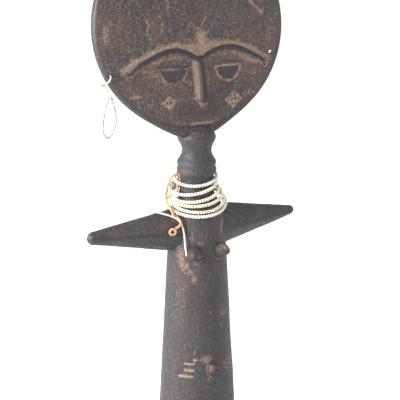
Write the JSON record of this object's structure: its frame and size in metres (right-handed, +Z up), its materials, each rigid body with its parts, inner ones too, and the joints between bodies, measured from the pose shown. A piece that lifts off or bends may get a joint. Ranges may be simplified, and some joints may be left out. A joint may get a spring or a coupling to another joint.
{
  "type": "carved fertility doll",
  "caption": "Carved wooden standing doll with a disc head, short cone arms and a tapering body, bead strands tied at the neck and a beaded thread loop in one ear.",
  "frame": {"origin": "centre of the flat base that the doll stands on", "axes": "+Z up through the head, the doll faces -Y, and its right arm points along -X"},
  "size_m": [0.145, 0.054, 0.3525],
  "materials": {
    "wood": "blackened, handled and worn",
    "seed_beads": "opaque glass seed beads",
    "clear_beads": "pale translucent glass seed beads",
    "cream_thread": "twisted cotton",
    "white_thread": "twisted cotton",
    "tan_cord": "plied cotton cord"
  },
  "bodies": {
    "figure": {"carved_figure": "wood", "bundle_tie": "tan_cord", "white_thread": "white_thread", "ear_tie": "cream_thread"},
    "strand_1": {"neck_beads_1": "seed_beads", "neck_thread_1": "cream_thread"},
    "strand_2": {"neck_beads_2": "seed_beads", "neck_thread_2": "cream_thread"},
    "strand_3": {"neck_beads_3": "seed_beads", "neck_thread_3": "cream_thread"},
    "strand_4": {"neck_beads_4": "seed_beads", "neck_thread_4": "cream_thread"},
    "strand_5": {"neck_beads_5": "seed_beads", "neck_thread_5": "cream_thread"},
    "strand_6": {"neck_beads_6": "seed_beads", "neck_thread_6": "cream_thread"},
    "ear_stem": {"ear_stem": "cream_thread"},
    "ear_loop": {"ear_loop_thread": "white_thread", "ear_loop_beads": "clear_beads"}
  },
  "joints": [
    {"name": "strand_1_turn", "type": "hinge", "parent": "figure", "child": "strand_1", "pos_m": [-0.0004, 0.0009, 0.1936], "axis": [-0.1185, -0.1651, 0.9791], "range_deg": [-240, 50]},
    {"name": "strand_2_turn", "type": "hinge", "parent": "figure", "child": "strand_2", "pos_m": [-0.0026, 0.0006, 0.1888], "axis": [-0.1848, -0.0976, 0.9779], "range_deg": [-240, 55]},
    {"name": "strand_3_turn", "type": "hinge", "parent": "figure", "child": "strand_3", "pos_m": [-0.0025, -0.0016, 0.1851], "axis": [-0.1634, -0.1392, 0.9767], "range_deg": [-240, 65]},
    {"name": "strand_4_turn", "type": "hinge", "parent": "figure", "child": "strand_4", "pos_m": [-0.0027, -0.001, 0.1836], "axis": [-0.0786, -0.1977, 0.9771], "range_deg": [-240, 75]},
    {"name": "strand_5_turn", "type": "hinge", "parent": "figure", "child": "strand_5", "pos_m": [-0.0011, -0.0009, 0.1799], "axis": [-0.0405, -0.2538, 0.9664], "range_deg": [-240, 90]},
    {"name": "strand_6_turn", "type": "hinge", "parent": "figure", "child": "strand_6", "pos_m": [-0.001, 0.0004, 0.1784], "axis": [-0.0417, -0.2924, 0.9554], "range_deg": [-240, 100]},
    {"name": "ear_stem_swing", "type": "hinge", "parent": "figure", "child": "ear_stem", "pos_m": [-0.0586, 0.0014, 0.2572], "axis": [0, 1, 0], "range_deg": [-10, 30]},
    {"name": "ear_loop_swing", "type": "hinge", "parent": "ear_stem", "child": "ear_loop", "pos_m": [-0.058, 0.0014, 0.2516], "axis": [1, 0, 0], "range_deg": [-70, 70]}
  ]
}
